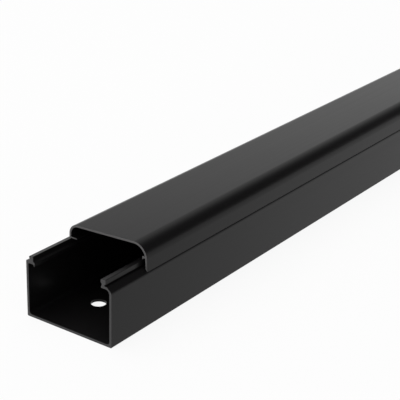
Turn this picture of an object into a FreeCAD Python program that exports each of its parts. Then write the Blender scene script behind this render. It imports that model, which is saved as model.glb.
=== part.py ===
"""Plastic cable channel with a clip-on cover, one stock length of each.

Both pieces are extrusions: one section each, drawn across the channel and run along Y.
X is the width, Y the length and Z up. The origin is the middle of the base's underside.
The near end of the base is at -Y. All sizes are millimetres.
"""
import FreeCAD, Part
import math
import os

# Stock length and outside of the closed channel
length = 1000.0
width = 50.0
height = 40.6

# Base: floor, side walls and the holes it is screwed down through
floor = 1.3
wall = 1.3
outer_foot_radius = 0.6
inner_foot_radius = 1.6
hole_diameter = 7.5
hole_offset = 5.7
hole_end_distance = 28.0
hole_pitch = 250.0
cutter_overrun = 1.0

# Right rim: the wall bends in over a wide shoulder, which the cover's foot follows
shoulder_level = 27.8
shoulder_run = 2.5
shoulder_rise = 1.55
shoulder_radius = 3.0
ledge_run = 0.9
ledge_rise = 0.15
rim_thickness = 1.5
rim_radius = 2.2

# Right rim: snap head above its neck, and the notch and blunt claw on its inner side
neck = 2.2
groove = 1.0
barb = 1.3
barb_rise = 0.3
head_rise = 1.9
lead_in_run = 1.6
knee_run = 0.53
knee_drop = 0.77
knee_radius = 1.2
head_overhang = 0.75
head_chamfer = 0.9
head_radius = 0.6
claw_reach = 0.6
claw_nose = 0.85
notch_rise = 0.85

# Left rim: a fuller shoulder and a low head, on which the cover's left skirt stands
left_shoulder_level = 28.2
left_shoulder_run = 2.3
left_shoulder_rise = 0.9
left_shoulder_radius = 0.9
left_rim_thickness = 1.8
left_rim_radius = 0.9
left_groove = 0.7
left_barb = 0.2
left_barb_rise = 0.3
left_head_side = 0.85
left_head = 2.3
left_head_radius = 0.4
left_lead_in_run = 1.2
left_lead_in_drop = 0.55
left_lead_in_radius = 0.2

# Left rim: hooked claw on the inner side of the head
throat_drop = 2.05
throat_radius = 0.4
hook_reach = 1.0
hook_slope = 0.3
hook_length = 2.8
hook_tip = 0.3
hook_root = 1.2
hook_radius = 0.7

# Cover: cap, upright left skirt and leaning right skirt
cover_setback = 25.8
cover_wall = 1.1
cap_slope = 2.8
right_cap_radius = 7.5
right_skirt_lean = 4.0
left_cap_radius = 5.2
left_skirt_inset = 3.55

# Cover: stop ribs over the heads, short on the right and a long taper on the left
short_rib_tip = 21.5
short_rib_clearance = 1.0
short_rib = 1.3
short_rib_radius = 0.43
long_rib_reach = 4.8
long_rib_clearance = 0.45
long_rib = 1.0
long_rib_tip = 0.4
long_rib_radius = 0.17

# Cover: lip that catches under the right barb
lip_bite = 0.2
lip_nose = 0.4
lip_rise = 0.3

# Running gap between the two pieces, measured square to the faces
slide_gap = 0.3

# Places in the base's section that follow from the sizes above
half_width = width / 2
inner_wall = half_width - wall
ledge_level = shoulder_level + shoulder_rise
neck_foot = ledge_level + ledge_rise
ledge_face = half_width - shoulder_run
neck_face = ledge_face - ledge_run
notch_face = neck_face - neck
barb_tip = neck_face + barb
barb_level = neck_foot + groove
head_top = barb_level + barb_rise + head_rise
head_face = notch_face - head_overhang
underside = neck_foot - rim_thickness
claw_face = notch_face - claw_reach
claw_top = underside + claw_nose
notch_level = claw_top + notch_rise
left_neck_foot = left_shoulder_level + left_shoulder_rise
left_neck_face = half_width - left_shoulder_run
left_barb_face = left_neck_face + left_barb
left_barb_level = left_neck_foot + left_groove
left_head_top = left_barb_level + left_barb_rise + left_head_side
left_head_face = left_barb_face - left_head
left_underside = left_neck_foot - left_rim_thickness
hook_face = left_head_face - hook_reach
hook_top = left_head_top - throat_drop - hook_slope

# Places in the cover's section: its right foot stands a running gap off the shoulder's arc
shoulder_turn = math.pi / 2 - math.atan2(shoulder_rise, shoulder_run)
shoulder_start = shoulder_level - shoulder_radius * math.tan(shoulder_turn / 2)
foot_radius = shoulder_radius + slide_gap
foot_turn = math.acos(shoulder_radius / foot_radius)
foot_tip = shoulder_start + foot_radius * math.sin(foot_turn)
left_skirt = half_width - left_skirt_inset
slope = math.radians(cap_slope)
lean = math.radians(right_skirt_lean)


def rounding(before, corner, after, radius):
    """Start, middle and end of the arc that rounds one corner of an outline."""
    to_before = (before - corner).normalize()
    to_after = (after - corner).normalize()
    half_angle = to_before.getAngle(to_after) / 2
    reach = radius / math.tan(half_angle)
    bisector = (to_before + to_after).normalize()
    centre = corner + bisector * (radius / math.sin(half_angle))
    return corner + to_before * reach, centre - bisector * radius, corner + to_after * reach


def section(corners):
    """Face across the channel from its corners (x, z, radius), in order round the outline."""
    points = [FreeCAD.Vector(x, 0, z) for x, z, _ in corners]
    stretches = []
    for index, (_, _, radius) in enumerate(corners):
        corner = points[index]
        after = points[(index + 1) % len(points)]
        if radius:
            stretches.append(rounding(points[index - 1], corner, after, radius))
        else:
            stretches.append((corner, None, corner))
    edges = []
    for index, (start, middle, end) in enumerate(stretches):
        if middle:
            edges.append(Part.Arc(start, middle, end).toShape())
        following = stretches[(index + 1) % len(stretches)][0]
        edges.append(Part.LineSegment(end, following).toShape())
    return Part.Face(Part.Wire(edges))


def other_side(corners):
    """The same corners on the left of the channel."""
    return [(-x, z, radius) for x, z, radius in corners]


def extruded(face, near_end):
    """One stock length of a section, from its near end towards +Y."""
    face.translate(FreeCAD.Vector(0, near_end, 0))
    return face.extrude(FreeCAD.Vector(0, length, 0))


def right_rim():
    """Corners over the right wall's rim, from its outer face to its inner face."""
    return [
        (half_width, shoulder_level, shoulder_radius),
        (ledge_face, ledge_level, 0),
        (neck_face, neck_foot, 0),
        (neck_face, barb_level, 0),
        (barb_tip, barb_level + barb_rise, 0),
        (barb_tip - knee_run, head_top - knee_drop, knee_radius),
        (barb_tip - lead_in_run, head_top, 0),
        (head_face, head_top, head_radius),
        (head_face, notch_level + head_chamfer, 0),
        (notch_face, notch_level, 0),
        (claw_face, claw_top, 0),
        (claw_face, underside, 0),
        (inner_wall, underside, rim_radius),
    ]


def left_rim():
    """The same for the left wall's rim, measured outwards from the middle."""
    return [
        (half_width, left_shoulder_level, left_shoulder_radius),
        (left_neck_face, left_neck_foot, 0),
        (left_neck_face, left_barb_level, 0),
        (left_barb_face, left_barb_level + left_barb_rise, 0),
        (left_barb_face, left_head_top, left_head_radius),
        (left_head_face + left_lead_in_run, left_head_top, 0),
        (left_head_face, left_head_top - left_lead_in_drop, left_lead_in_radius),
        (left_head_face, left_head_top - throat_drop, throat_radius),
        (hook_face, hook_top, hook_radius),
        (hook_face + hook_tip, hook_top - hook_length, 0),
        (hook_face + hook_root, left_underside, hook_radius),
        (inner_wall, left_underside, left_rim_radius),
    ]


def base():
    """Trough with a rim along each wall and staggered holes in its floor."""
    outer_foot = (half_width, 0, outer_foot_radius)
    inner_foot = (inner_wall, floor, inner_foot_radius)
    right = [outer_foot, *right_rim(), inner_foot]
    left = [outer_foot, *left_rim(), inner_foot]
    trough = extruded(section(right + other_side(reversed(left))), -length / 2)
    return trough.cut(floor_holes())


def floor_holes():
    """Cutters for the round holes, which lie by turns left and right of the middle."""
    cutters = []
    side = -1
    place = hole_end_distance - length / 2
    while place < length / 2 - hole_end_distance:
        foot = FreeCAD.Vector(side * hole_offset, place, -cutter_overrun)
        cutters.append(Part.makeCylinder(hole_diameter / 2, floor + 2 * cutter_overrun, foot))
        side = -side
        place += hole_pitch
    return cutters


def right_face(level, inset):
    """Place across the channel of the leaning right skirt's face, inset from its outer face."""
    return half_width - inset / math.cos(lean) - (level - foot_tip) * math.tan(lean)


def cap(inset):
    """Right and left corner of the sloping cap, inset from its outer face.

    The arc of the right corner, whose top is the channel's full height, sets the cap's level.
    """
    arc_level = height - right_cap_radius
    arc_middle = right_face(arc_level, right_cap_radius)
    middle_level = arc_level + (right_cap_radius - inset) / math.cos(slope) - arc_middle * math.tan(slope)
    right = right_face(middle_level, inset) / (1 + math.tan(slope) * math.tan(lean))
    left = inset - left_skirt
    return [
        (right, middle_level + right * math.tan(slope), right_cap_radius - inset),
        (left, middle_level + left * math.tan(slope), left_cap_radius - inset),
    ]


def right_foot():
    """Corners of the right skirt's foot, from its outer tip along the shoulder to its inner face."""
    half_turn = (shoulder_turn - foot_turn) / 2
    knee_reach = foot_radius / math.cos(half_turn)
    knee_turn = foot_turn + half_turn
    knee = half_width - shoulder_radius + knee_reach * math.cos(knee_turn)
    knee_level = shoulder_start + knee_reach * math.sin(knee_turn)
    climb = shoulder_rise / shoulder_run
    clear_level = shoulder_level + slide_gap / math.sin(shoulder_turn)
    inner = cover_wall / math.cos(lean) - foot_tip * math.tan(lean)
    root_level = (clear_level + inner * climb) / (1 - math.tan(lean) * climb)
    return [
        (half_width, foot_tip, 0),
        (knee, knee_level, shoulder_radius),
        (right_face(root_level, cover_wall), root_level, 0),
    ]


def lip():
    """Right skirt's lip, whose nose lies in the groove under the barb."""
    nose = barb_tip - lip_bite
    root = half_width - cover_wall
    top = barb_level + barb_rise * (nose - neck_face) / barb - slide_gap
    bottom = top - lip_nose
    return [(nose, bottom, 0), (nose, top, 0), (root, top + lip_rise, 0), (root, bottom, 0)]


def short_rib_corners():
    """Right skirt's stop rib above the snap head."""
    root = half_width - cover_wall
    bottom = head_top + short_rib_clearance
    return [
        (short_rib_tip, bottom, short_rib_radius),
        (short_rib_tip, bottom + short_rib, short_rib_radius),
        (root, bottom + short_rib, 0),
        (root, bottom, 0),
    ]


def long_rib_corners():
    """Left skirt's stop rib, which tapers inwards above the low head."""
    root = left_skirt - cover_wall / 2
    bottom = left_head_top + long_rib_clearance
    tip = root - long_rib_reach
    middle = bottom + long_rib / 2
    return [
        (tip, middle - long_rib_tip / 2, long_rib_radius),
        (tip, middle + long_rib_tip / 2, long_rib_radius),
        (root, bottom + long_rib, 0),
        (root, bottom, 0),
    ]


def cover():
    """Sloping cap with a right skirt flush with the base's wall and a left one set in."""
    left_level = left_head_top + slide_gap
    left_foot = [(-left_skirt, left_level, 0), (cover_wall - left_skirt, left_level, 0)]
    shell = cap(0) + left_foot + cap(cover_wall)[::-1] + right_foot()[::-1]
    near_end = cover_setback - length / 2
    solid = extruded(section(shell), near_end)
    added = [lip(), short_rib_corners(), other_side(long_rib_corners())]
    fused = solid.fuse([extruded(section(corners), near_end) for corners in added])
    return fused.removeSplitter()


os.makedirs("parts", exist_ok=True)
base().exportStep("parts/base.step")
cover().exportStep("parts/cover.step")
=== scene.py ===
"""Cable channel in black plastic: a trough-shaped base with its clip-on cover slid back from one end."""

import math

import bpy
import numpy as np
from mathutils import Matrix


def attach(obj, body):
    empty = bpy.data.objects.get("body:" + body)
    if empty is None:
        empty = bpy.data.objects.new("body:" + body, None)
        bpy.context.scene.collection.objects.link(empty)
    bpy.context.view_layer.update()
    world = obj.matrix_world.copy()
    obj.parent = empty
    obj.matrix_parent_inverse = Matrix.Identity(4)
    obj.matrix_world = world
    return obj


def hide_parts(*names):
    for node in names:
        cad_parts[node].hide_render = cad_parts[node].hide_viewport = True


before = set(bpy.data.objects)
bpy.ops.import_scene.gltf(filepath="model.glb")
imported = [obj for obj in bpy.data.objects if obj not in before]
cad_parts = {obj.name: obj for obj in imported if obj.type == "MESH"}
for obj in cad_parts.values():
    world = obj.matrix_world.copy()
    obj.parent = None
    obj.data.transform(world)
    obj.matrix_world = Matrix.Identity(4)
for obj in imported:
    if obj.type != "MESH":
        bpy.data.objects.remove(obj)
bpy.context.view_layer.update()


# The base: one extrusion of rigid black PVC. Its right wall bends in over a shoulder to a snap head with
# a blunt claw, its left wall ends in a low head with a hooked claw. It is sawn off square at both ends,
# and four holes are punched through its floor, by turns left and right of the middle.
mm = 0.001
length = 1.0
edge = 0.1
saw_edge = 0.06
arc_step = math.radians(6)
base_middle = 0.0
right_corners = [
    (25.0, 0.0, 0.6), (25.0, 27.1, 1.8), (22.5, 29.4, edge), (21.0, 29.5, edge), (21.0, 30.15, edge),
    (21.65, 30.35, edge), (21.65, 32.65, 0.25), (18.85, 32.4, 0.4), (18.85, 31.0, edge),
    (19.5, 30.15, edge), (19.05, 28.9, edge), (19.05, 28.25, edge), (23.7, 28.25, 2.2), (23.7, 1.3, 1.6),
]
left_corners = [
    (25.0, 0.0, 0.6), (25.0, 28.45, 0.7), (22.9, 29.2, edge), (22.9, 29.9, edge), (23.15, 30.3, edge),
    (23.05, 30.9, 0.15), (22.2, 30.95, edge), (20.65, 31.2, 0.2), (20.65, 28.8, 0.3), (19.65, 28.0, 0.3),
    (20.0, 26.0, edge), (20.75, 27.3, 0.5), (23.7, 27.3, 0.8), (23.7, 1.3, 1.6),
]
hole_radius = 3.75
hole_offset = 5.7
first_hole, hole_pitch, hole_count = -472.0, 250.0, 4
punch_foot, punch_top = -2.0, 4.0
hole_sides = 64
same_place = 1e-5
sharp_turn = math.radians(32)


def rounded(before, corner, after, radius):
    """Points of the arc that rounds a corner: the directions from the arc's centre to its two ends are
    blended along the circle, so point t is centre + (sin((1-t)a) first + sin(ta) last) / sin(a)."""
    if radius == 0:
        return corner[None]
    to_before = (before - corner) / np.linalg.norm(before - corner)
    to_after = (after - corner) / np.linalg.norm(after - corner)
    half = math.acos(np.clip(to_before @ to_after, -1, 1)) / 2
    bisector = (to_before + to_after) / np.linalg.norm(to_before + to_after)
    centre = corner + bisector * radius / math.sin(half)
    first = corner + to_before * radius / math.tan(half) - centre
    last = corner + to_after * radius / math.tan(half) - centre
    turn = math.pi - 2 * half
    t = np.linspace(0, 1, 2 + int(turn / arc_step + turn * radius / 2))[:, None]
    return centre + (np.sin((1 - t) * turn) * first + np.sin(t * turn) * last) / math.sin(turn)


def outline(corners):
    """Closed outline across the channel, from its corners (x, z, radius) in millimetres."""
    table = np.array(corners)
    places, radii = table[:, :2], table[:, 2]
    arcs = map(rounded, np.roll(places, 1, axis=0), places, np.roll(places, -1, axis=0), radii)
    points = np.concatenate(list(arcs))
    apart = np.linalg.norm(points - np.roll(points, 1, axis=0), axis=1) > same_place
    return points[apart] * mm


def mirrored(corners):
    """The same corners on the other side of the channel, in the opposite order."""
    return [(-x, z, radius) for x, z, radius in reversed(corners)]


def extrusion(name, points, middle):
    """An outline carried along Y. Point (s, row) is outline(s) - inset(row) * normal(s) at y(row): the
    inset is nothing along the length and breaks the sawn edges at both ends."""
    along = np.roll(points, -1, axis=0) - np.roll(points, 1, axis=0)
    normal = np.stack([along[:, 1], -along[:, 0]], axis=1)
    normal /= np.linalg.norm(normal, axis=1)[:, None]
    chamfer = saw_edge * mm
    inset = np.array([chamfer, 0, 0, chamfer])
    half = length / 2
    rows = middle + np.array([-half, chamfer - half, half - chamfer, half])
    across = points[None] - inset[:, None, None] * normal[None]
    count = len(points)
    grid = np.empty((len(rows), count, 3))
    grid[..., 0], grid[..., 1], grid[..., 2] = across[..., 0], rows[:, None], across[..., 1]
    index = np.arange(len(rows) * count).reshape(len(rows), count)
    ahead = np.roll(index, -1, axis=1)
    sides = np.stack([index[:-1], index[1:], ahead[1:], ahead[:-1]], axis=-1).reshape(-1, 4)
    mesh = bpy.data.meshes.new(name)
    ends = [index[0].tolist(), index[-1, ::-1].tolist()]
    mesh.from_pydata(grid.reshape(-1, 3), [], [*sides.tolist(), *ends])
    mesh.shade_smooth()
    mesh.set_sharp_from_angle(angle=sharp_turn)
    piece = bpy.data.objects.new(name, mesh)
    bpy.context.scene.collection.objects.link(piece)
    return piece


def punches():
    """Cylinders for the floor's holes: circles at each place, joined below and above the floor."""
    turn = np.linspace(0, 2 * math.pi, hole_sides, endpoint=False)
    side = np.resize([-hole_offset, hole_offset], hole_count)
    place = first_hole + hole_pitch * np.arange(hole_count)
    ring = np.stack([hole_radius * np.cos(turn), hole_radius * np.sin(turn)], axis=1)
    centre = np.stack([side, place], axis=1)
    grid = np.empty((hole_count, 2, hole_sides, 3))
    grid[..., :2] = centre[:, None, None] + ring[None, None]
    grid[..., 2] = np.array([punch_foot, punch_top])[None, :, None]
    index = np.arange(grid.size // 3).reshape(hole_count, 2, hole_sides)
    ahead = np.roll(index, -1, axis=2)
    sides = np.stack([index[:, 0], ahead[:, 0], ahead[:, 1], index[:, 1]], axis=-1).reshape(-1, 4)
    ends = [*index[:, 0, ::-1].tolist(), *index[:, 1].tolist()]
    mesh = bpy.data.meshes.new("punches")
    mesh.from_pydata(grid.reshape(-1, 3) * mm, [], [*sides.tolist(), *ends])
    cutter = bpy.data.objects.new("punches", mesh)
    bpy.context.scene.collection.objects.link(cutter)
    return cutter


class Shade:
    """A value or colour in a material's nodes. Arithmetic on it adds Math nodes."""

    def __init__(self, tree, socket=None):
        self.tree, self.socket = tree, socket

    def node(self, kind, sockets, output=0, **settings):
        """Adds one node: its settings first, then the values or links of its sockets."""
        made = self.tree.nodes.new(kind)
        for name, setting in settings.items():
            setattr(made, name, setting)
        for name, value in sockets.items():
            if isinstance(value, Shade):
                self.tree.links.new(value.socket, made.inputs[name])
            else:
                made.inputs[name].default_value = value
        return Shade(self.tree, made.outputs[output] if made.outputs else None)

    def maths(self, operation, first, second=0.0):
        return self.node("ShaderNodeMath", {0: first, 1: second}, operation=operation)

    def __add__(self, other):
        return self.maths("ADD", self, other)

    def __sub__(self, other):
        return self.maths("SUBTRACT", self, other)

    def __rsub__(self, other):
        return self.maths("SUBTRACT", other, self)

    def __mul__(self, other):
        return self.maths("MULTIPLY", self, other)

    def __gt__(self, other):
        return self.maths("GREATER_THAN", self, other)

    def __abs__(self):
        return self.maths("ABSOLUTE", self)

    __radd__ = __add__
    __rmul__ = __mul__


def blend(factor, first, second):
    """A colour between two, given as colours or as shades: the first where the factor is 0."""
    ends = [end if isinstance(end, Shade) else (*end, 1) for end in (first, second)]
    sockets = {"Factor": factor, 6: ends[0], 7: ends[1]}
    return factor.node("ShaderNodeMix", sockets, output=2, data_type="RGBA")


def extruded_pvc(name, middle, sawn_colour):
    """Satin black rigid PVC with faint die lines along its length, and paler, matt sawn ends."""
    darker_skin, paler_skin = (0.0038, 0.0035, 0.0037), (0.0050, 0.0047, 0.0049)
    satin_roughness, sawn_roughness = 0.25, 0.62
    sawn_depth = 0.2 * saw_edge * mm
    saw_contrast = 0.3
    relief_depth, relief_strength = 0.00001, 0.35
    material = bpy.data.materials.new(name)
    material.use_nodes = True
    tree = material.node_tree
    tree.nodes.clear()
    shade = Shade(tree)
    place = shade.node("ShaderNodeTexCoord", {}, output="Object")
    y = shade.node("ShaderNodeSeparateXYZ", {0: place}, output="Y")
    sawn = abs(y - middle) > length / 2 - sawn_depth

    # Die lines run along Y, so their pattern is drawn out that way; the haze is broad and soft.
    drawn_out = shade.node("ShaderNodeMapping", {"Vector": place, "Scale": (1, 0.004, 1)})
    lines = shade.node("ShaderNodeTexNoise", {"Vector": drawn_out, "Scale": 900.0, "Detail": 3.0})
    haze = shade.node("ShaderNodeTexNoise", {"Vector": place, "Scale": 14.0, "Detail": 3.0})
    grain = shade.node("ShaderNodeTexNoise", {"Vector": place, "Scale": 5200.0, "Detail": 2.0})
    # Saw marks cross the section in shallow, slanting scratches.
    slanted = shade.node("ShaderNodeMapping", {
        "Vector": place, "Rotation": (0, 0.35, 0), "Scale": (300, 1, 9000)})
    saw_marks = shade.node("ShaderNodeTexNoise", {"Vector": slanted, "Scale": 1.0, "Detail": 2.0})

    skin = blend(haze, darker_skin, paler_skin)
    pale = np.array(sawn_colour)
    cut = blend(saw_marks, (1 - saw_contrast) * pale, (1 + saw_contrast) * pale)
    satin = satin_roughness + 0.07 * lines + 0.04 * haze
    roughness = satin + sawn * (sawn_roughness - satin)
    bumps = (1 - sawn) * (0.35 * lines + 0.25 * grain) + sawn * 3.0 * saw_marks
    relief = shade.node("ShaderNodeBump", {
        "Height": bumps, "Strength": relief_strength, "Distance": relief_depth})
    surface = shade.node("ShaderNodeBsdfPrincipled", {
        "Base Color": blend(sawn, skin, cut), "Roughness": roughness, "Normal": relief,
        "IOR": 1.46, "Specular IOR Level": 0.165})
    shade.node("ShaderNodeOutputMaterial", {"Surface": surface})
    return material


base = extrusion("channel_base", outline(right_corners + mirrored(left_corners)), base_middle)
cutter = punches()
bored = base.modifiers.new("holes", "BOOLEAN")
bored.object, bored.operation, bored.solver = cutter, "DIFFERENCE", "EXACT"
pierced = bpy.data.meshes.new_from_object(base.evaluated_get(bpy.context.evaluated_depsgraph_get()))
base.modifiers.clear()
base.data = pierced
pierced.name = "channel_base"
bpy.data.objects.remove(cutter)
evened = base.modifiers.new("even_flats", "WEIGHTED_NORMAL")
evened.keep_sharp = True
base.data.materials.clear()
base.data.materials.append(extruded_pvc("black_pvc_base", base_middle, (0.066, 0.065, 0.066)))
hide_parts("base")
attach(base, "base")


# The cover: one extrusion of the same PVC, a cap that slopes down to the left, with rounded corners. Its
# right skirt carries on the base's wall and its left one, set in, stands on the low head. Each has a rib
# inside, the right one with a downturned tip. The cover is slid back from the near end.
cover_middle = 0.0258
height = 40.6
wall = 1.1
cap_radius, left_cap_radius = 7.5, 5.2
slope, lean = math.radians(2.8), math.radians(3.4)
left_skirt = 21.45
left_foot = 31.4
skirt_face, foot_tip, foot_top = 24.7, 27.35, 28.7
rib_under, rib_over = 33.8, 34.85


def right_face(level, inset):
    """Place across the channel of the right skirt's face, inset from its outer face: the face leans in
    by the tangent of its lean for each millimetre above the foot."""
    return skirt_face - inset / math.cos(lean) - (level - foot_tip) * math.tan(lean)


arc_level = height - cap_radius
arc_middle = right_face(arc_level, cap_radius)


def cap_corners(inset):
    """Right and left corner of the cap, inset from its outer face: the right skirt's line meets the
    cap's line, which touches the right corner's arc, and the left skirt is upright."""
    middle = arc_level + (cap_radius - inset) / math.cos(slope) - arc_middle * math.tan(slope)
    right = right_face(middle, inset) / (1 + math.tan(slope) * math.tan(lean))
    left = inset - left_skirt
    return [(right, middle + right * math.tan(slope), cap_radius - inset),
            (left, middle + left * math.tan(slope), left_cap_radius - inset)]


def inner_arc(start, end):
    """Corners that give the right corner's inner arc from one angle to another: its ends, and where
    their tangents meet, which is radius / cos(half the angle) from the centre."""
    radius = cap_radius - wall
    turns = np.array([start, (start + end) / 2, end])
    reach = np.array([radius, radius / math.cos((end - start) / 2), radius])
    places = np.stack([arc_middle + reach * np.cos(turns), arc_level + reach * np.sin(turns)], axis=1)
    return [(*place, bend) for place, bend in zip(places, (0, radius, 0))]


rib_turns = [math.asin((level - arc_level) / (cap_radius - wall)) for level in (rib_under, rib_over)]
right_inside = [
    (24.1, 28.1, 0.6), (right_face(foot_top, wall), foot_top, edge), *inner_arc(lean, rib_turns[0]),
    (22.4, rib_under, 0.25), (22.15, 33.3, edge), (21.6, 33.2, edge), (21.6, rib_over, 0.45),
    *inner_arc(rib_turns[1], math.pi / 2 + slope),
]
left_inside = [
    (-16.8, 31.6, 0.17), (-16.8, 32.05, 0.17), (wall - left_skirt, 32.25, edge), cap_corners(wall)[1],
]
outside = [(right_face(foot_tip, 0), foot_tip, edge), *cap_corners(0), (-left_skirt, left_foot, edge)]
cover = extrusion("channel_cover", outline(outside + left_inside + right_inside[::-1]), cover_middle)
evened = cover.modifiers.new("even_flats", "WEIGHTED_NORMAL")
evened.keep_sharp = True
cover.data.materials.append(extruded_pvc("black_pvc_cover", cover_middle, (0.120, 0.117, 0.118)))
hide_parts("cover")
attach(cover, "cover")


# The floor: a plain white studio floor, large enough that its edge stays out of sight. What the camera
# and the gloss see of it is mostly plain white, and the rest is matt and keeps the channel's shadow.
floor_reach = 12.0
floor_corners = floor_reach * np.array([(-1, -1, 0), (1, -1, 0), (1, 1, 0), (-1, 1, 0)])
floor_mesh = bpy.data.meshes.new("floor")
floor_mesh.from_pydata(floor_corners, [], [(0, 1, 2, 3)])
floor = bpy.data.objects.new("floor", floor_mesh)
bpy.context.scene.collection.objects.link(floor)
paper = bpy.data.materials.new("white_paper")
paper.use_nodes = True
paper.node_tree.nodes.clear()
shade = Shade(paper.node_tree)
ray = "ShaderNodeLightPath"
seen = (shade.node(ray, {}, output="Is Camera Ray") + shade.node(ray, {}, output="Is Glossy Ray")
        + shade.node(ray, {}, output="Is Transmission Ray"))
white_share = 0.9
matt = shade.node("ShaderNodeBsdfDiffuse", {"Color": (0.85, 0.85, 0.85, 1)})
white = shade.node("ShaderNodeEmission", {"Color": (1, 1, 1, 1), "Strength": 1.0})
lit = shade.node("ShaderNodeMixShader", {0: white_share * seen, 1: matt, 2: white})
shade.node("ShaderNodeOutputMaterial", {"Surface": lit})
floor_mesh.materials.append(paper)


# The studio: a soft surround, bright along the horizon and dimmer in a belt above it, with a dark flag
# behind the channel, which the rounded corner mirrors as a dark band, and one large soft lamp overhead.
world = bpy.data.worlds.new("studio")
world.use_nodes = True
world.node_tree.nodes.clear()
shade = Shade(world.node_tree)
direction = shade.node("ShaderNodeTexCoord", {}, output="Generated")
x, y, z = [shade.node("ShaderNodeSeparateXYZ", {0: direction}, output=axis) for axis in "XYZ"]
horizon_glow, belt_glow, upper_glow, flag_glow = 1.15, 0.45, 0.81, 0.08


def fade(value, start, end):
    """Rises smoothly from 0 at start to 1 at end."""
    sockets = {"Value": value, "From Min": start, "From Max": end}
    return value.node("ShaderNodeMapRange", sockets, interpolation_type="SMOOTHSTEP")


flag = fade(x, -0.34, 0.22) * (1 - fade(x, 0.85, 0.98)) * fade(y, 0.1, 0.4) * fade(z, 0.1, 0.18)
into_belt, out_of_belt = fade(z, 0.22, 0.33), fade(z, 0.39, 0.5)
sky = horizon_glow - (horizon_glow - belt_glow) * into_belt + (upper_glow - belt_glow) * out_of_belt
strength = sky * (1 - flag) + flag_glow * flag
glow = shade.node("ShaderNodeBackground", {"Color": (1, 1, 1, 1), "Strength": strength})
shade.node("ShaderNodeOutputWorld", {"Surface": glow})
bpy.context.scene.world = world

lamp_side, lamp_power, lamp_tilt = 2.2, 20.0, math.radians(-14)
lamp_data = bpy.data.lights.new("overhead", "AREA")
lamp_data.shape, lamp_data.size, lamp_data.energy = "SQUARE", lamp_side, lamp_power
lamp = bpy.data.objects.new("overhead", lamp_data)
lamp.location = (-0.5, -0.5, 2.0)
lamp.rotation_euler = (lamp_tilt, lamp_tilt, 0)
bpy.context.scene.collection.objects.link(lamp)


# The camera, which looks down along the channel from its near right end.
camera_place = (0.321765, -0.863001, 0.269023)
azimuth, elevation, roll = math.radians(34.742), math.radians(22.807), math.radians(1.766)
sensor_width, focal_length = 36.0, 109.173
level_view = np.array([-math.sin(azimuth), math.cos(azimuth), 0])
view = level_view * math.cos(elevation) - np.array([0, 0, math.sin(elevation)])
right = np.cross(view, (0, 0, 1))
right /= np.linalg.norm(right)
up = np.cross(right, view)
tilted_right = right * math.cos(roll) + up * math.sin(roll)
tilted_up = up * math.cos(roll) - right * math.sin(roll)
camera_data = bpy.data.cameras.new("camera")
camera_data.sensor_width, camera_data.lens = sensor_width, focal_length
camera_data.clip_start, camera_data.clip_end = 0.01, 100.0
camera = bpy.data.objects.new("camera", camera_data)
turned = np.eye(4)
turned[:3, 0], turned[:3, 1], turned[:3, 2] = tilted_right, tilted_up, -view
turned[:3, 3] = camera_place
camera.matrix_world = Matrix(turned.tolist())
bpy.context.scene.collection.objects.link(camera)
bpy.context.scene.camera = camera
bpy.context.scene.view_settings.view_transform = "Standard"
